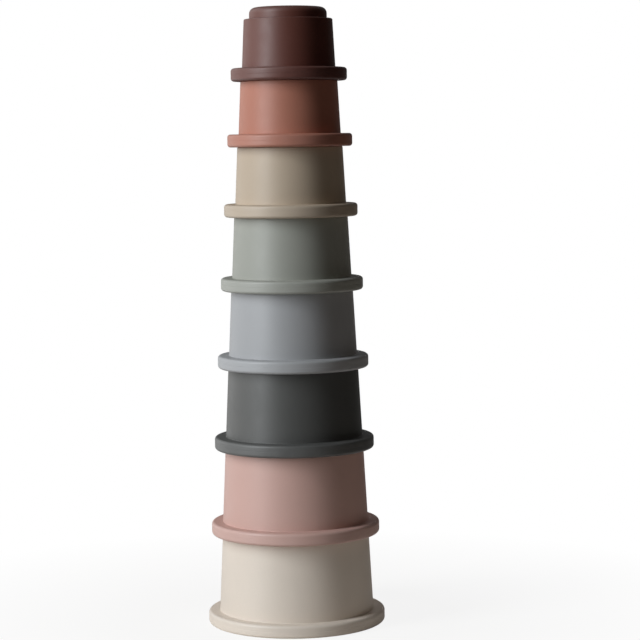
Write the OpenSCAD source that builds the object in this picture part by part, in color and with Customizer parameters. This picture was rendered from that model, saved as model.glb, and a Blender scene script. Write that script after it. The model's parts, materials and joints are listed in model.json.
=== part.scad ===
// Stacking cup tower: eight nesting cups, turned mouth down and stacked by size.
// Each cup is one moulded shell with a thick rim round its mouth and a spigot on its
// closed end. The rim of a cup rests on the shoulder of the cup below it, and that cup's
// spigot sits in its mouth. Units are millimetres. The stack's axis is Z, and the rim of
// the largest cup stands on z = 0.

/* [Cup sizes] */
// Outside diameter of the largest cup's body at its mouth
mouth_d = 79.2; // [72:0.1:92]
// How much narrower each cup's mouth is than the mouth below it
mouth_drop = 4.5; // [4:0.1:5.5]
// Height of the largest cup from its rim's foot to its shoulder
body_h = 45.6; // [40:0.1:54]
// How much lower each cup is than the cup below it
height_drop = 2.1; // [0.5:0.1:3]
// Slope of the side walls away from upright, in degrees
draft = 2.9; // [1.5:0.1:3.5]

/* [Walls] */
// Thickness of the side walls, measured level
wall = 1.5; // [1.2:0.1:1.8]
// Thickness of the closed end and of the shoulder
end_wall = 1.9; // [1.6:0.1:3]

/* [Rim] */
// How far the rim stands out from the body at the mouth
rim_w = 5.4; // [3:0.1:8]
// Height of the rim
rim_h = 6.5; // [5:0.1:9]
// Rounding of the rim's two outer edges
rim_round = 1.5; // [0.5:0.1:2.4]

/* [Spigot] */
// Height of the spigot above the shoulder
spigot_h = 5.8; // [4.5:0.1:8]
// Gap all round between a spigot and the mouth over it
fit_gap = 0.25; // [0.1:0.05:0.5]
// Rounding of the spigot's upper edge
spigot_round = 3.2; // [1:0.1:3.8]

/* [Edges] */
// Rounding of the shoulder's outer edge
shoulder_round = 0.5; // [0.2:0.1:0.8]
// Rounding of the mouth's inner edge and of the inside corners
edge_round = 0.3; // [0.1:0.05:0.4]
// Rounding of the finest edges, at the spigot's root and in the foot's recess
fine_round = 0.1; // [0.05:0.05:0.15]

/* [Foot] */
// Width of the ring that a cup stands on when its mouth is up
foot_w = 6; // [4.5:0.1:8]
// Depth of the recess inside that ring
recess_depth = 0.5; // [0.4:0.1:0.7]
// Diameter of the dimple where the plastic enters the mould
gate_d = 5; // [3:0.1:8]
// Depth of the dimple below the recess
gate_depth = 0.4; // [0.4:0.1:0.6]

/* [Hidden] */
$fn = 128;

// How far the straight steps of a rounded corner may lie from its true arc
arc_error = 0.01;
// A spigot is clear of the mouth over it above its top as well as all round
socket_h = spigot_h + fit_gap;

// In these functions n is a cup's place in the stack, counted up from 0 at the base.

// Outside radius of a cup's body at its mouth
function mouth_r(n) = (mouth_d - n * mouth_drop) / 2;

// Height of a cup from its rim's foot to its shoulder
function shoulder_h(n) = body_h - n * height_drop;

// Outside radius of a cup's body at height z above its rim's foot
function body_r(n, z) = mouth_r(n) - z * tan(draft);

// Radius of the upright land inside a cup's mouth, which ends where the sloping wall takes over
function socket_r(n) = body_r(n, socket_h) - wall;

// Radius of a cup's spigot, which fits the mouth of the next cup up
function spigot_r(n) = socket_r(n + 1) - fit_gap;

// Height of a cup's foot above the base of the stack: the sum of the cups below it
function stack_z(n) = n * body_h - height_drop * n * (n - 1) / 2;

function unit(v) = v / norm(v);

// Points of an arc of radius r that rounds the corner b between a and c
function rounded_corner(a, b, c, r) =
    let (to_a = unit(a - b),
         to_c = unit(c - b),
         half = acos(to_a * to_c) / 2,
         centre = b + unit(to_a + to_c) * r / sin(half),
         first = b + to_a * r / tan(half) - centre,
         last = b + to_c * r / tan(half) - centre,
         start = atan2(first.y, first.x),
         turn = (atan2(last.y, last.x) - start + 540) % 360 - 180,
         steps = ceil(abs(turn) / (2 * acos(1 - arc_error / r))))
    [for (k = [0 : steps])
        let (angle = start + turn * k / steps)
        centre + r * [cos(angle), sin(angle)]];

// Closed outline through corners given as [radius, height, rounding]
function rounded_outline(corners) =
    let (last = len(corners) - 1,
         points = [for (p = corners) [p.x, p.y]])
    [for (k = [0 : last])
        each corners[k].z == 0
            ? [points[k]]
            : rounded_corner(points[k == 0 ? last : k - 1], points[k],
                             points[k == last ? 0 : k + 1], corners[k].z)];

// Half section of a cup, from its mouth up the outside and down the inside
function cup_section(n) =
    let (shoulder = shoulder_h(n),
         rim_r = mouth_r(n) + rim_w,
         post_r = spigot_r(n),
         top = shoulder + spigot_h,
         recess_r = post_r - foot_w,
         recess = top - recess_depth,
         dimple = recess - gate_depth,
         ledge = shoulder - end_wall,
         ceiling = top - end_wall)
    rounded_outline([
        [socket_r(n), 0, edge_round],
        [rim_r, 0, rim_round],
        [rim_r, rim_h, rim_round],
        [body_r(n, rim_h), rim_h, edge_round],
        [body_r(n, shoulder), shoulder, shoulder_round],
        [post_r, shoulder, fine_round],
        [post_r, top, spigot_round],
        [recess_r, top, fine_round],
        [recess_r, recess, fine_round],
        [gate_d / 2, recess, fine_round],
        [gate_d / 2, dimple, fine_round],
        [0, dimple, 0],
        [0, ceiling, 0],
        [post_r - wall, ceiling, max(spigot_round - wall, edge_round)],
        [post_r - wall, ledge, edge_round],
        [body_r(n, ledge) - wall, ledge, edge_round],
        [socket_r(n), socket_h, 0]
    ]);

module cup(n) {
    translate([0, 0, stack_z(n)])
        rotate_extrude()
            polygon(cup_section(n));
}

module cup_1_ivory() { color("#d8d1c5") cup(0); }
module cup_2_blush() { color("#c8a8a1") cup(1); }
module cup_3_charcoal() { color("#666868") cup(2); }
module cup_4_mist() { color("#a4a8ad") cup(3); }
module cup_5_sage() { color("#a0a59d") cup(4); }
module cup_6_sand() { color("#b5a99c") cup(5); }
module cup_7_clay() { color("#b48370") cup(6); }
module cup_8_umber() { color("#6a4640") cup(7); }

cup_1_ivory();
cup_2_blush();
cup_3_charcoal();
cup_4_mist();
cup_5_sage();
cup_6_sand();
cup_7_clay();
cup_8_umber();
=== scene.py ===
# %% [markdown]
# # A tower of stacking cups
# Eight thin plastic cups stand mouth down, one on the other, the largest at the bottom.
# Each has a thick rim round its mouth, and a low spigot on its closed end that sits in the
# mouth of the next cup up. This lesson loads the measured model as a fixed frame, turns a
# smooth cup for each of its eight nodes, gives every cup a satin moulded finish, and lights
# the tower from the left with a tall soft box. All lengths are in metres.

# %% Load the measured frame
import json
import math

import bpy
from mathutils import Matrix, Vector


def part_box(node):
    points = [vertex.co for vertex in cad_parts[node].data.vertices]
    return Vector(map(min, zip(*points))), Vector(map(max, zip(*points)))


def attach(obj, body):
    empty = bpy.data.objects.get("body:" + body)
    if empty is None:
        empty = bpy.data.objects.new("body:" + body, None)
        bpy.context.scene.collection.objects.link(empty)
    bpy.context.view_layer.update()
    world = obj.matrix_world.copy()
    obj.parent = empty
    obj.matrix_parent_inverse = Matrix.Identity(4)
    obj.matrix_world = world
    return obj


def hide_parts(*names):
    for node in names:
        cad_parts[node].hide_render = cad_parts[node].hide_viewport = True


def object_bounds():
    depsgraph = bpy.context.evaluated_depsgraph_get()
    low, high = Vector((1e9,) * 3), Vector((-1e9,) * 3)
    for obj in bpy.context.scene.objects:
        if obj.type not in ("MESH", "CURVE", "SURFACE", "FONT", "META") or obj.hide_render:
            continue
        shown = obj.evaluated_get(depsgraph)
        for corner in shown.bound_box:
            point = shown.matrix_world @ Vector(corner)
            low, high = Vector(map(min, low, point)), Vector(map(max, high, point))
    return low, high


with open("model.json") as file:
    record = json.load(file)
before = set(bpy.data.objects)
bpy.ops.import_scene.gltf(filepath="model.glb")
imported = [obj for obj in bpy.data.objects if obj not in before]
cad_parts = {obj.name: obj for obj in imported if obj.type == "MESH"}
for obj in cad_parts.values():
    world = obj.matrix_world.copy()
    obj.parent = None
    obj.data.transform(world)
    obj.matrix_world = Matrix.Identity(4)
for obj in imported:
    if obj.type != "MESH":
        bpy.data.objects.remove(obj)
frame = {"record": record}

frame_low, frame_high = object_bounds()
print("frame box", [round(v, 4) for v in frame_low], [round(v, 4) for v in frame_high])

# %% [markdown]
# ## The camera
# The picture was taken from a little over a metre away, somewhat above the middle of the
# tower and looking down by less than five degrees. A long lens keeps the rims nearly level,
# and a small roll makes the tower lean as it does in the picture. Turning the camera to put
# the tower left of the middle keeps the lens shift at nothing.

# %% Place the camera
CAMERA_PLACE = (0.0, -1.10026, 0.24597)
CAMERA_YAW = math.radians(0.7259)
CAMERA_PITCH = math.radians(4.7719)
CAMERA_ROLL = math.radians(-0.8168)
CAMERA_LENS_MM = 122.27
CAMERA_SENSOR_MM = 36.0

camera_turn = (Matrix.Rotation(-CAMERA_YAW, 3, "Z")
               @ Matrix.Rotation(math.pi / 2 - CAMERA_PITCH, 3, "X")
               @ Matrix.Rotation(CAMERA_ROLL, 3, "Z"))
bpy.ops.object.select_all(action="DESELECT")
bpy.ops.object.camera_add(location=CAMERA_PLACE, rotation=camera_turn.to_euler())
camera = bpy.context.object
camera.name = "picture_camera"
camera.data.sensor_width = CAMERA_SENSOR_MM
camera.data.lens = CAMERA_LENS_MM
bpy.context.scene.camera = camera
print("camera at", tuple(round(v, 3) for v in camera.location))

# %% [markdown]
# ## Measuring the cups
# Every cup follows the same few rules, so most of its sizes can be read off its box in the
# frame: the rim is the widest part, the foot is the lowest, and the shoulder is where the
# next cup's foot rests. They could be typed in, but reading them keeps the two models in
# step. Each mouth is narrower than the one below by the same amount. A gap of a hundredth of
# a millimetre is left over each shoulder, so that no two faces lie in one plane and flicker.

# %% Read each cup's own sizes
RESTING_GAP = 0.00001

cups = []
for body, nodes in sorted(frame["record"]["behaviour"]["bodies"].items()):
    low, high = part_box(nodes[0])
    cups.append({"body": body, "node": nodes[0], "slot": nodes[0].split("_")[-1],
                 "foot": low.z, "top": high.z, "rim": high.x})
SPIGOT_HEIGHT = cups[0]["top"] - cups[1]["foot"]
MOUTH_STEP = cups[0]["rim"] - cups[1]["rim"]
for cup in cups:
    cup["shoulder"] = cup["top"] - SPIGOT_HEIGHT - RESTING_GAP
    print(cup["node"], "foot", round(cup["foot"], 4), "shoulder", round(cup["shoulder"], 4),
          "rim radius", round(cup["rim"], 5))

# %% [markdown]
# ## The half section
# A cup is a solid of revolution, so its whole shape lies in one half section: a line that
# starts on the axis, runs out over the closed end, down the outside, round the rim and back
# up the inside to the axis. It could also be built from stacked cylinders, but a section
# keeps the wall even and gives every corner a rounding of its own. What a box cannot show,
# such as the wall's thickness and the roundings, is named here once for all eight cups.

# %% Name the sizes that all cups share
WALL = 0.0015
END_WALL = 0.0019
WALL_SLOPE = math.tan(math.radians(2.9))
RIM_WIDTH = 0.0054
RIM_HEIGHT = 0.0065
FIT_GAP = 0.00025

RIM_ROUND = 0.0015
SPIGOT_ROUND = 0.0032
SHOULDER_ROUND = 0.0005
EDGE_ROUND = 0.0003
FINE_ROUND = 0.0001
print("walls of", WALL * 1000, "mm, closed ends of", END_WALL * 1000, "mm")

# %% [markdown]
# ## Marks of the mould
# A ring on the closed end is what a cup stands on when its mouth is up, and inside it lies a
# shallow recess with a dimple. The small nub in the dimple is where the plastic came in. A
# fine groove round the rim is where the two halves of the mould meet. All of them are turned
# too, so they are corners of the same line rather than pieces added later.

# %% Name the marks and list the corners of a half section
FOOT_RING = 0.006
RECESS_DEPTH = 0.0005
GATE_RADIUS = 0.0025
GATE_DEPTH = 0.0004
NUB_RADIUS = 0.0008
NUB_HEIGHT = 0.0002
SEAM_WIDTH = 0.0003
SEAM_DEPTH = 0.00007


def cup_corners(cup):
    """Corners as (radius, height, rounding), from the axis outside to the axis inside."""
    foot = cup["foot"]
    shoulder = cup["shoulder"]
    top = cup["top"]
    rim = cup["rim"]

    def body_radius(z):
        return rim - RIM_WIDTH - (z - foot) * WALL_SLOPE

    socket_top = foot + SPIGOT_HEIGHT + FIT_GAP
    socket = body_radius(socket_top) - WALL
    spigot = socket - MOUTH_STEP - FIT_GAP
    recess = top - RECESS_DEPTH
    dimple = recess - GATE_DEPTH
    ledge = shoulder - END_WALL
    ceiling = top - END_WALL
    rim_top = foot + RIM_HEIGHT
    seam = foot + RIM_HEIGHT / 2
    return [
        (0.0, dimple + NUB_HEIGHT, 0),
        (NUB_RADIUS, dimple + NUB_HEIGHT, FINE_ROUND),
        (NUB_RADIUS, dimple, 0),
        (GATE_RADIUS, dimple, FINE_ROUND),
        (GATE_RADIUS, recess, FINE_ROUND),
        (spigot - FOOT_RING, recess, FINE_ROUND),
        (spigot - FOOT_RING, top, FINE_ROUND),
        (spigot, top, SPIGOT_ROUND),
        (spigot, shoulder, FINE_ROUND),
        (body_radius(shoulder), shoulder, SHOULDER_ROUND),
        (body_radius(rim_top), rim_top, EDGE_ROUND),
        (rim, rim_top, RIM_ROUND),
        (rim, seam + SEAM_WIDTH / 2, 0),
        (rim - SEAM_DEPTH, seam, 0),
        (rim, seam - SEAM_WIDTH / 2, 0),
        (rim, foot, RIM_ROUND),
        (socket, foot, EDGE_ROUND),
        (socket, socket_top, 0),
        (body_radius(ledge) - WALL, ledge, EDGE_ROUND),
        (spigot - WALL, ledge, EDGE_ROUND),
        (spigot - WALL, ceiling, SPIGOT_ROUND - WALL),
        (0.0, ceiling, 0),
    ]


for cup in cups:
    cup["corners"] = cup_corners(cup)
print("corners in a half section:", len(cups[0]["corners"]))

# %% [markdown]
# ## Drawing the section
# The section could be given to the mesh as a list of points. Here it is drawn as one would by
# hand: a plane is merged to a single point, and the point is extruded from corner to corner.
# The line lies in the XZ plane, on one side of the axis, at the height where its cup stands
# in the tower, so nothing has to be moved later.

# %% Draw the eight sections
def draw_section(name, corners):
    """A new object whose mesh is the open line through the corners."""
    bpy.ops.object.select_all(action="DESELECT")
    bpy.ops.mesh.primitive_plane_add(size=WALL)
    section = bpy.context.object
    section.name = name
    section.data.name = name
    bpy.ops.object.mode_set(mode="EDIT")
    bpy.ops.mesh.select_all(action="SELECT")
    bpy.ops.mesh.merge(type="CENTER")
    bpy.ops.transform.translate(value=(corners[0][0], 0, corners[0][1]))
    for start, end in zip(corners, corners[1:]):
        step = (end[0] - start[0], 0, end[1] - start[1])
        bpy.ops.mesh.extrude_vertices_move(TRANSFORM_OT_translate={"value": step})
    bpy.ops.object.mode_set(mode="OBJECT")
    return section


for cup in cups:
    cup["object"] = draw_section("turned_" + cup["node"], cup["corners"])
    print(cup["object"].name, len(cup["object"].data.vertices), "points")

# %% [markdown]
# ## Rounding the corners
# A moulded edge is never sharp. A vertex bevel turns a corner of the line into an arc, and
# all corners that share a radius are bevelled at once. Rounding the flat line first is easier
# than bevelling the finished cup, where the bevels of close edges would run into each other.

# %% Round the corners of each section
SAME_PLACE = 1e-6
ROUND_SEGMENTS = {SPIGOT_ROUND: 12, SPIGOT_ROUND - WALL: 8, RIM_ROUND: 8,
                  SHOULDER_ROUND: 5, EDGE_ROUND: 4, FINE_ROUND: 3}


def pick_up(cup_object):
    """Makes a cup the only object that is selected, and the active one."""
    bpy.ops.object.select_all(action="DESELECT")
    cup_object.select_set(True)
    bpy.context.view_layer.objects.active = cup_object


def select_corners(section, places):
    """Goes into edit mode with only the points at these places selected."""
    bpy.ops.object.mode_set(mode="EDIT")
    bpy.ops.mesh.select_mode(type="VERT")
    bpy.ops.mesh.select_all(action="DESELECT")
    bpy.ops.object.mode_set(mode="OBJECT")
    for point in section.data.vertices:
        point.select = any((point.co - place).length < SAME_PLACE for place in places)
    bpy.ops.object.mode_set(mode="EDIT")


for cup in cups:
    pick_up(cup["object"])
    for radius, segments in ROUND_SEGMENTS.items():
        places = [Vector((r, 0, z)) for r, z, rounding in cup["corners"] if rounding == radius]
        select_corners(cup["object"], places)
        bpy.ops.mesh.bevel(affect="VERTICES", offset=radius, segments=segments)
        bpy.ops.object.mode_set(mode="OBJECT")
    print(cup["object"].name, len(cup["object"].data.vertices), "points")

# %% [markdown]
# ## Turning the cups
# Spin sweeps the line round the axis like a lathe. A Screw modifier could do the same, but
# Spin leaves plain faces to check at once. Merging by distance closes the seam and the two
# ends on the axis, and the normals are then made to point out of the plastic everywhere.

# %% Spin each section round the axis
SPIN_STEPS = 192

for cup in cups:
    pick_up(cup["object"])
    bpy.ops.object.mode_set(mode="EDIT")
    bpy.ops.mesh.select_all(action="SELECT")
    bpy.ops.mesh.spin(steps=SPIN_STEPS, angle=2 * math.pi, center=(0, 0, 0), axis=(0, 0, 1))
    bpy.ops.mesh.select_all(action="SELECT")
    bpy.ops.mesh.remove_doubles(threshold=SAME_PLACE)
    bpy.ops.mesh.normals_make_consistent(inside=False)
    bpy.ops.object.mode_set(mode="OBJECT")
    print(cup["object"].name, len(cup["object"].data.vertices), "points,",
          len(cup["object"].data.polygons), "faces")

# %% [markdown]
# ## Smooth sides and true flats
# Smooth shading blends the direction of neighbouring faces, and beside a small rounding that
# would make a flat wall look swollen. The Weighted Normal modifier lets the large faces win,
# so the walls stay straight and only the roundings turn. The groove of the mould has three
# crisp lines, which are marked sharp first, because blending would hide it.

# %% Mark the groove sharp
for cup in cups:
    pick_up(cup["object"])
    bpy.ops.object.mode_set(mode="EDIT")
    bpy.ops.mesh.select_mode(type="EDGE")
    bpy.ops.mesh.select_all(action="DESELECT")
    bpy.ops.object.mode_set(mode="OBJECT")
    mesh = cup["object"].data
    seam = cup["foot"] + RIM_HEIGHT / 2
    lines = 0
    for line in mesh.edges:
        ends = [mesh.vertices[number].co for number in line.vertices]
        level = abs(ends[0].z - ends[1].z) < SAME_PLACE
        near = abs(ends[0].z - seam) < SEAM_WIDTH
        outside = ends[0].xy.length > cup["rim"] - WALL
        line.select = level and near and outside
        lines += line.select
    bpy.ops.object.mode_set(mode="EDIT")
    bpy.ops.mesh.mark_sharp()
    bpy.ops.object.mode_set(mode="OBJECT")
    print(cup["object"].name, lines, "sharp edges")

# %% Shade the cups smooth
for cup in cups:
    pick_up(cup["object"])
    bpy.ops.object.shade_smooth(keep_sharp_edges=True)
    bpy.ops.object.modifier_add(type="WEIGHTED_NORMAL")
    weighted = cup["object"].modifiers[-1]
    weighted.keep_sharp = True
    bpy.ops.object.modifier_apply(modifier=weighted.name)
print("smooth cups:", len(cups))

# %% [markdown]
# ## Where cups get rubbed, and where rims are painted light
# Cups that are stacked and nested all day get polished along their outer edges and finely
# scuffed where they rest on each other. Their rims are also painted paler than the walls. This
# is painted light, standing in for the extra light the rims catch. Three values are kept on
# the points of the mesh for the finish to read: how near a point is to the middle of a rounded
# outer edge, how far out on the rim it lies (where the rim's painted light goes), and whether
# it is on a face that rests on something. A painted picture could hold them too, but values on
# points need no unwrapping.

# %% Mark the edges, the rims and the resting faces
ARC_MIDDLE = math.sqrt(2) - 1
LEVEL_ERROR = 2e-5

for cup in cups:
    outer = [(Vector((r, z)), rounding) for r, z, rounding in cup["corners"]
             if rounding in (RIM_ROUND, SPIGOT_ROUND, SHOULDER_ROUND)]
    levels = (cup["foot"], cup["shoulder"], cup["top"])
    mesh = cup["object"].data
    edge = mesh.attributes.new("polished_edge", "FLOAT", "POINT")
    # The second value places painted light: the outside of each rim is painted paler than its
    # walls, standing in for the extra light the rims catch.
    rim_light_values = mesh.attributes.new("rim_painted_light", "FLOAT", "POINT")
    rest = mesh.attributes.new("resting_face", "FLOAT", "POINT")
    resting = 0
    for point in mesh.vertices:
        place = Vector((point.co.xy.length, point.co.z))
        near = [(rounding - (place - corner).length) / (rounding * (1 - ARC_MIDDLE))
                for corner, rounding in outer]
        far_out = (place.x - cup["rim"] + RIM_ROUND) / RIM_ROUND
        rests = any(abs(place.y - level) < LEVEL_ERROR for level in levels)
        edge.data[point.index].value = min(max(0.0, *near), 1.0)
        rim_light_values.data[point.index].value = min(max(0.0, far_out), 1.0)
        rest.data[point.index].value = rests
        resting += rests
    print(cup["object"].name, resting, "points on resting faces")

# %% [markdown]
# ## Handing the cups to the frame
# Each turned cup rides on the body of its node, so it lifts with it. It also stands for that
# node, which is hidden from now on and kept for collisions.

# %% Ride on the bodies
for cup in cups:
    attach(cup["object"], cup["body"])
    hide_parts(cup["node"])
    print(cup["object"].name, "rides on", cup["body"])

# %% [markdown]
# ## Building a finish from nodes
# A finish is a tree of nodes: patterns are mixed step by step until they reach the shader.
# These helpers add one node each and join it up, so that the steps below read like a recipe.
# A noise lies mostly between 0.3 and 0.7, which is what add_range takes if nothing is said.

# %% Helpers that add nodes
NOISE_LOW = 0.3
NOISE_HIGH = 0.7
MIX_FACTOR = 0
MIX_FIRST_COLOUR = 6
MIX_SECOND_COLOUR = 7
MIX_RESULT_COLOUR = 2


def add_node(tree, kind, **settings):
    """A new node of this kind, with its settings made."""
    node = tree.nodes.new(kind)
    for name, value in settings.items():
        setattr(node, name, value)
    return node


def add_noise(tree, place, scale, detail):
    """A soft random pattern over a place; a larger scale makes it finer."""
    noise = add_node(tree, "ShaderNodeTexNoise")
    noise.inputs["Scale"].default_value = scale
    noise.inputs["Detail"].default_value = detail
    tree.links.new(place, noise.inputs["Vector"])
    return noise.outputs["Fac"]


def add_range(tree, value, low, high, from_low=NOISE_LOW, from_high=NOISE_HIGH):
    """Stretches a value from one range to another."""
    mapped = add_node(tree, "ShaderNodeMapRange")
    for name, number in (("From Min", from_low), ("From Max", from_high),
                         ("To Min", low), ("To Max", high)):
        mapped.inputs[name].default_value = number
    tree.links.new(value, mapped.inputs["Value"])
    return mapped.outputs["Result"]


def add_math(tree, operation, first, second):
    """Joins two values; each is a socket or a number."""
    joined = add_node(tree, "ShaderNodeMath", operation=operation)
    for socket, value in zip(joined.inputs, (first, second)):
        if isinstance(value, (int, float)):
            socket.default_value = value
        else:
            tree.links.new(value, socket)
    return joined.outputs["Value"]


def add_blend(tree, factor, first, second):
    """Mixes two colours; each is a socket or a list of three numbers."""
    mix = add_node(tree, "ShaderNodeMix", data_type="RGBA")
    tree.links.new(factor, mix.inputs[MIX_FACTOR])
    for number, colour in ((MIX_FIRST_COLOUR, first), (MIX_SECOND_COLOUR, second)):
        if isinstance(colour, bpy.types.NodeSocket):
            tree.links.new(colour, mix.inputs[number])
        else:
            mix.inputs[number].default_value = (*colour, 1.0)
    return mix.outputs[MIX_RESULT_COLOUR]


print("node helpers: noise, range, math and blend")

# %% [markdown]
# ## Satin moulded plastic
# The cups are coloured right through, each in one muted colour, and have a fine matt grain
# from the mould, so light spreads over them in a broad soft sheen. All eight get the same
# steps. Every pattern is read from the object's own coordinates or from the values kept on
# its points, so it stays put when a cup is lifted.

# %% Start a finish for each cup
PLASTIC_IOR = 1.5
CUP_COLOURS = {
    "ivory": (227, 214, 200),
    "blush": (204, 166, 155),
    "charcoal": (78, 78, 76),
    "mist": (164, 164, 165),
    "sage": (156, 156, 147),
    "sand": (186, 168, 147),
    "clay": (174, 113, 93),
    "umber": (91, 48, 38),
}


def linear(value):
    """One channel of a written colour, 0 to 255, as the number that light is added in."""
    value /= 255.0
    return value / 12.92 if value <= 0.04045 else ((value + 0.055) / 1.055) ** 2.4


for cup in cups:
    finish = bpy.data.materials.new("satin_" + cup["slot"])
    finish.use_nodes = True
    cup["object"].data.materials.append(finish)
    cup["tree"] = finish.node_tree
    cup["shader"] = finish.node_tree.nodes["Principled BSDF"]
    cup["shader"].inputs["IOR"].default_value = PLASTIC_IOR
    cup["place"] = add_node(cup["tree"], "ShaderNodeTexCoord").outputs["Object"]
    cup["pigment"] = [linear(channel) for channel in CUP_COLOURS[cup["slot"]]]
    print(finish.name, CUP_COLOURS[cup["slot"]])

# %% [markdown]
# ## Pigment
# Pigment never spreads quite evenly through melted plastic. One flat colour would do from
# afar, but looks dead close up. A slow drift, some centimetres across, and a fine speckle
# move the colour up and down by a few hundredths.

# %% Let the pigment drift
DRIFT_SCALE = 28.0
DRIFT_DETAIL = 2.0
DRIFT_SHARE = 0.7
SPECKLE_SCALE = 1400.0
SPECKLE_DETAIL = 1.0
PIGMENT_SPREAD = 0.03

for cup in cups:
    tree = cup["tree"]
    drift = add_noise(tree, cup["place"], DRIFT_SCALE, DRIFT_DETAIL)
    speckle = add_noise(tree, cup["place"], SPECKLE_SCALE, SPECKLE_DETAIL)
    amount = add_math(tree, "ADD", add_range(tree, drift, 0.0, DRIFT_SHARE),
                      add_range(tree, speckle, 0.0, 1.0 - DRIFT_SHARE))
    deeper = [channel * (1.0 - PIGMENT_SPREAD) for channel in cup["pigment"]]
    paler = [channel * (1.0 + PIGMENT_SPREAD) for channel in cup["pigment"]]
    cup["colour"] = add_blend(tree, amount, deeper, paler)
print("drift about", round(1000 / DRIFT_SCALE), "mm across, speckle",
      round(1000 / SPECKLE_SCALE, 1), "mm")

# %% [markdown]
# ## Handled edges, and rims painted light
# Handling turns the outer edges a touch paler. The outside of the rims is painted paler too,
# some more than others. This is painted light, standing in for the extra light the rims catch
# compared with the walls. The values kept on the points say where, and an uneven haze says how
# much, so neither looks drawn on.

# %% Rub the edges and paint light on the rims
HAZE_SCALE = 150.0
HAZE_DETAIL = 3.0
PALING_FOR_WEAR_AND_LIGHT = 0.05
EDGE_WEAR_LEAST = 0.2
EDGE_WEAR_MOST = 0.7
RIM_PAINTED_LIGHT_UNEVEN = 0.3
# Painted light: how much paler each cup's rim is painted than its walls, standing in for the
# light the rims catch.
RIM_PAINTED_LIGHT = {"ivory": 0.5, "blush": 0.6, "charcoal": 0.6, "mist": 0.7,
            "sage": 0.9, "sand": 0.9, "clay": 0.6, "umber": 0.25}

for cup in cups:
    tree = cup["tree"]
    cup["edge"] = add_node(tree, "ShaderNodeAttribute",
                           attribute_name="polished_edge").outputs["Fac"]
    cup["haze"] = add_noise(tree, cup["place"], HAZE_SCALE, HAZE_DETAIL)
    # This paler colour is shared by real wear on the edges and resting faces, and by the
    # painted light on the rims.
    cup["chalky"] = [channel + (1 - channel) * PALING_FOR_WEAR_AND_LIGHT for channel in cup["pigment"]]
    edge_wear = add_math(tree, "MULTIPLY", cup["edge"],
                         add_range(tree, cup["haze"], EDGE_WEAR_LEAST, EDGE_WEAR_MOST))
    # The rim's share is painted light, not wear: the rim's outside is made paler to stand in
    # for the light it catches.
    rim = add_node(tree, "ShaderNodeAttribute", attribute_name="rim_painted_light").outputs["Fac"]
    usual_rim_light = RIM_PAINTED_LIGHT[cup["slot"]]
    rim_light_amount = add_math(tree, "MULTIPLY", rim,
                        add_range(tree, cup["haze"], usual_rim_light * (1.0 - RIM_PAINTED_LIGHT_UNEVEN),
                                  usual_rim_light * (1.0 + RIM_PAINTED_LIGHT_UNEVEN)))
    wear_and_rim_light = add_math(tree, "MAXIMUM", edge_wear, rim_light_amount)
    cup["colour"] = add_blend(tree, wear_and_rim_light, cup["colour"], cup["chalky"])
    # The rim amount printed here is painted light, not wear.
    print(cup["slot"], "rim wear about", usual_rim_light)

# %% [markdown]
# ## Rings where cups turn on each other
# A cup that is twisted on the one below leaves faint rings on the faces that touch. A Wave
# texture can draw rings, but all alike. A noise that changes fast with the distance from the
# axis and slowly round it makes uneven ones, about half a millimetre apart.

# %% Scuff the resting faces
RING_SCALE = 2200.0
RING_DETAIL = 2.0
RING_FAINTEST = 0.5
RING_BOLDEST = 0.7
SCUFF_TINT = 0.5

for cup in cups:
    tree = cup["tree"]
    level = add_node(tree, "ShaderNodeVectorMath", operation="MULTIPLY")
    level.inputs[1].default_value = (1, 1, 0)
    tree.links.new(cup["place"], level.inputs[0])
    reach = add_node(tree, "ShaderNodeVectorMath", operation="LENGTH")
    tree.links.new(level.outputs["Vector"], reach.inputs[0])
    round_axis = add_node(tree, "ShaderNodeVectorMath", operation="NORMALIZE")
    tree.links.new(level.outputs["Vector"], round_axis.inputs[0])
    ring_step = add_node(tree, "ShaderNodeCombineXYZ")
    tree.links.new(add_math(tree, "MULTIPLY", reach.outputs["Value"], RING_SCALE),
                   ring_step.inputs["Z"])
    ring_place = add_node(tree, "ShaderNodeVectorMath", operation="ADD")
    tree.links.new(round_axis.outputs["Vector"], ring_place.inputs[0])
    tree.links.new(ring_step.outputs["Vector"], ring_place.inputs[1])
    ring_noise = add_noise(tree, ring_place.outputs["Vector"], 1.0, RING_DETAIL)
    rings = add_range(tree, ring_noise, 0.0, 1.0, RING_FAINTEST, RING_BOLDEST)
    rest = add_node(tree, "ShaderNodeAttribute", attribute_name="resting_face").outputs["Fac"]
    cup["scuff"] = add_math(tree, "MULTIPLY", rings, rest)
    scuffed = add_blend(tree, add_math(tree, "MULTIPLY", cup["scuff"], SCUFF_TINT),
                        cup["colour"], cup["chalky"])
    tree.links.new(scuffed, cup["shader"].inputs["Base Color"])
print("rings about", round(1000 / RING_SCALE, 2), "mm apart")

# %% [markdown]
# ## Sheen
# Satin lies between matt and gloss. The haze makes it slightly uneven, polished edges are a
# little smoother than the walls, and scuffs are rougher.

# %% Set the sheen
SATIN_ROUGHNESS = 0.5
SATIN_UNEVEN = 0.03
EDGE_POLISH = 0.06
SCUFF_DULLING = 0.12

for cup in cups:
    tree = cup["tree"]
    satin = add_range(tree, cup["haze"], SATIN_ROUGHNESS - SATIN_UNEVEN,
                      SATIN_ROUGHNESS + SATIN_UNEVEN)
    polish = add_math(tree, "MULTIPLY", cup["edge"], EDGE_POLISH)
    dulling = add_math(tree, "MULTIPLY", cup["scuff"], SCUFF_DULLING)
    roughness = add_math(tree, "ADD", add_math(tree, "SUBTRACT", satin, polish), dulling)
    tree.links.new(roughness, cup["shader"].inputs["Roughness"])
print("roughness about", SATIN_ROUGHNESS)

# %% [markdown]
# ## Grain
# The mould is finely etched, so the plastic has a grain that is felt more than seen. It is
# far too fine for the mesh, so a Bump node tilts the shading instead.

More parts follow.
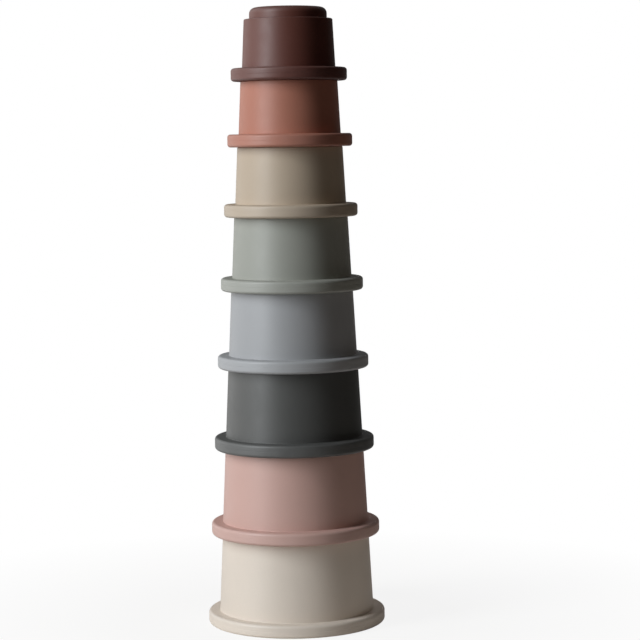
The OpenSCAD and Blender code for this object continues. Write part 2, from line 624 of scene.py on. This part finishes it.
# %% Etch the grain
GRAIN_SCALE = 2600.0
GRAIN_DETAIL = 2.0
GRAIN_DEPTH = 0.00004
GRAIN_STRENGTH = 0.6

for cup in cups:
    tree = cup["tree"]
    bump = add_node(tree, "ShaderNodeBump")
    bump.inputs["Strength"].default_value = GRAIN_STRENGTH
    bump.inputs["Distance"].default_value = GRAIN_DEPTH
    grain = add_noise(tree, cup["place"], GRAIN_SCALE, GRAIN_DETAIL)
    tree.links.new(grain, bump.inputs["Height"])
    tree.links.new(bump.outputs["Normal"], cup["shader"].inputs["Normal"])
    print("finish of", cup["slot"], "has", len(tree.nodes), "nodes")

# %% [markdown]
# ## The floor
# The tower stands on a white table. A disc is enough, because the surroundings are white too
# and its edge is never seen.

# %% Lay the floor
FLOOR_RADIUS = 0.3
FLOOR_CORNERS = 128

bpy.ops.object.select_all(action="DESELECT")
bpy.ops.mesh.primitive_circle_add(vertices=FLOOR_CORNERS, radius=FLOOR_RADIUS,
                                  fill_type="NGON", location=(0, 0, frame_low.z))
floor = bpy.context.object
floor.name = "white_table"
print("floor at height", round(floor.location.z, 6), "radius", FLOOR_RADIUS)

# %% [markdown]
# ## White that keeps a shadow
# The table is plain matt white for the light that bounces off it. To the camera and, weakly,
# to reflections it is also lifted towards pure white, more so further out, so that the
# background stays even and only a soft shadow is left near the base. From beneath it is
# clear, so that the tower can be looked at from below.

# %% Paint the floor
FLOOR_WHITE = (0.75, 0.70, 0.65)
FLOOR_LIFT_NEAR = 0.88
FLOOR_LIFT_START = 0.08
FLOOR_LIFT_END = 0.26
FLOOR_GLOW = 0.25

floor_finish = bpy.data.materials.new("matt_white_table")
floor_finish.use_nodes = True
tree = floor_finish.node_tree
tree.nodes.remove(tree.nodes["Principled BSDF"])
matt = add_node(tree, "ShaderNodeBsdfDiffuse")
matt.inputs["Color"].default_value = (*FLOOR_WHITE, 1)
white = add_node(tree, "ShaderNodeEmission")
rays = add_node(tree, "ShaderNodeLightPath")
mirrored = add_math(tree, "MULTIPLY", rays.outputs["Is Glossy Ray"], FLOOR_GLOW)
seen = add_math(tree, "MAXIMUM", rays.outputs["Is Camera Ray"],
                add_math(tree, "MAXIMUM", rays.outputs["Is Transmission Ray"], mirrored))
out = add_node(tree, "ShaderNodeVectorMath", operation="LENGTH")
tree.links.new(add_node(tree, "ShaderNodeTexCoord").outputs["Object"], out.inputs[0])
lift = add_range(tree, out.outputs["Value"], FLOOR_LIFT_NEAR, 1.0,
                 FLOOR_LIFT_START, FLOOR_LIFT_END)
lifted = add_node(tree, "ShaderNodeMixShader")
tree.links.new(add_math(tree, "MULTIPLY", seen, lift), lifted.inputs[0])
tree.links.new(matt.outputs["BSDF"], lifted.inputs[1])
tree.links.new(white.outputs["Emission"], lifted.inputs[2])
side = add_node(tree, "ShaderNodeNewGeometry")
clear = add_node(tree, "ShaderNodeBsdfTransparent")
beneath = add_node(tree, "ShaderNodeMixShader")
tree.links.new(side.outputs["Backfacing"], beneath.inputs[0])
tree.links.new(lifted.outputs["Shader"], beneath.inputs[1])
tree.links.new(clear.outputs["BSDF"], beneath.inputs[2])
tree.links.new(beneath.outputs["Shader"], tree.nodes["Material Output"].inputs["Surface"])
floor.data.materials.append(floor_finish)
print("floor white from", FLOOR_LIFT_NEAR, "near the tower to 1.0")

# %% [markdown]
# ## The light
# A tall soft box stands on the left and a little to the front, so the light wraps round the
# left half of each cup and falls off to deep shade on the right. It is slightly cool, as
# daylight through a window is. A weaker one behind keeps the far side readable, and a small
# warm card on the right lifts the shade a little. These two are kept out of reflections, so
# they leave no second sheen. Each is turned to face the middle of the tower.

# %% Set up the lamps
TOWER_MIDDLE = (frame_low + frame_high) / 2
COOL_WHITE = (0.91, 0.96, 1.0)
PLAIN_WHITE = (1.0, 1.0, 1.0)
WARM_WHITE = (1.0, 0.86, 0.74)


def add_soft_box(name, bearing, distance, height, width, tall, watts, colour):
    """Bearing is in degrees round the tower from the camera's side, with the left negative."""
    turn = math.radians(bearing)
    place = Vector((math.sin(turn) * distance, -math.cos(turn) * distance, height))
    aim = (TOWER_MIDDLE - place).to_track_quat("-Z", "Y").to_euler()
    bpy.ops.object.light_add(type="AREA", location=place, rotation=aim)
    lamp = bpy.context.object
    lamp.name = name
    lamp.data.shape = "RECTANGLE"
    lamp.data.size = width
    lamp.data.size_y = tall
    lamp.data.energy = watts
    lamp.data.color = colour
    lamp.visible_camera = False
    print(name, "at", tuple(round(v, 3) for v in place), watts, "W")
    return lamp


add_soft_box("key_soft_box", bearing=-58, distance=1.0, height=0.6,
             width=0.36, tall=1.2, watts=13.4, colour=COOL_WHITE)
back_soft_box = add_soft_box("back_soft_box", bearing=170, distance=1.0, height=0.16,
                             width=0.5, tall=0.5, watts=3.6, colour=PLAIN_WHITE)
back_soft_box.visible_glossy = False
bounce_card = add_soft_box("bounce_card", bearing=78, distance=0.6, height=0.22,
                           width=0.3, tall=0.3, watts=0.15, colour=WARM_WHITE)
bounce_card.visible_glossy = False

# %% [markdown]
# ## The white sheet
# To the camera the surroundings are plain white from every side. Reflections see that white
# only on the left, where a bright sheet hangs beside the soft box; the rest of the room is
# dim, which is what makes the shaded sides deep. The sheet is a ramp over how nearly a
# reflected ray points at the sheet's middle: 1 is straight at it and -1 straight away.

# %% Hang the sheet
SHEET_BEARING = math.radians(-98)
SHEET_STOPS = ((-0.7, 0.01), (-0.4, 0.14), (0.4, 0.14), (0.75, 1.5))

world = bpy.data.worlds.new("white_room")
bpy.context.scene.world = world
world.use_nodes = True
tree = world.node_tree
toward = add_node(tree, "ShaderNodeVectorMath", operation="DOT_PRODUCT")
toward.inputs[1].default_value = (math.sin(SHEET_BEARING), -math.cos(SHEET_BEARING), 0)
tree.links.new(add_node(tree, "ShaderNodeTexCoord").outputs["Generated"], toward.inputs[0])
along_ramp = add_range(tree, toward.outputs["Value"], 0.0, 1.0, -1.0, 1.0)
sheet = add_node(tree, "ShaderNodeValToRGB")
tree.links.new(along_ramp, sheet.inputs["Fac"])
while len(sheet.color_ramp.elements) < len(SHEET_STOPS):
    sheet.color_ramp.elements.new(1.0)
for stop, (aim, grey) in zip(sheet.color_ramp.elements, SHEET_STOPS):
    stop.position = (aim + 1) / 2
    stop.color = (grey, grey, grey, 1)
print("sheet brightness from", SHEET_STOPS[0][1], "to", SHEET_STOPS[-1][1])

# %% [markdown]
# ## The white room
# The room's strength is 1, which is white, for the camera and for rays that pass through
# something clear. Reflections get the sheet, and scattered light gets only a faint glow, so
# the shade stays deep and the background stays white.

# %% Light the surroundings
ROOM_LIGHT = 0.02

backdrop = tree.nodes["Background"]
backdrop.inputs["Color"].default_value = (1, 1, 1, 1)
rays = add_node(tree, "ShaderNodeLightPath")
reflected = add_math(tree, "MULTIPLY", rays.outputs["Is Glossy Ray"], sheet.outputs["Color"])
direct = add_math(tree, "MAXIMUM", rays.outputs["Is Camera Ray"],
                  rays.outputs["Is Transmission Ray"])
scattered = add_math(tree, "MULTIPLY", rays.outputs["Is Diffuse Ray"], ROOM_LIGHT)
strength = add_math(tree, "MAXIMUM", scattered, add_math(tree, "MAXIMUM", direct, reflected))
tree.links.new(strength, backdrop.inputs["Strength"])
bpy.context.scene.view_settings.view_transform = "Standard"
print("room light", ROOM_LIGHT)
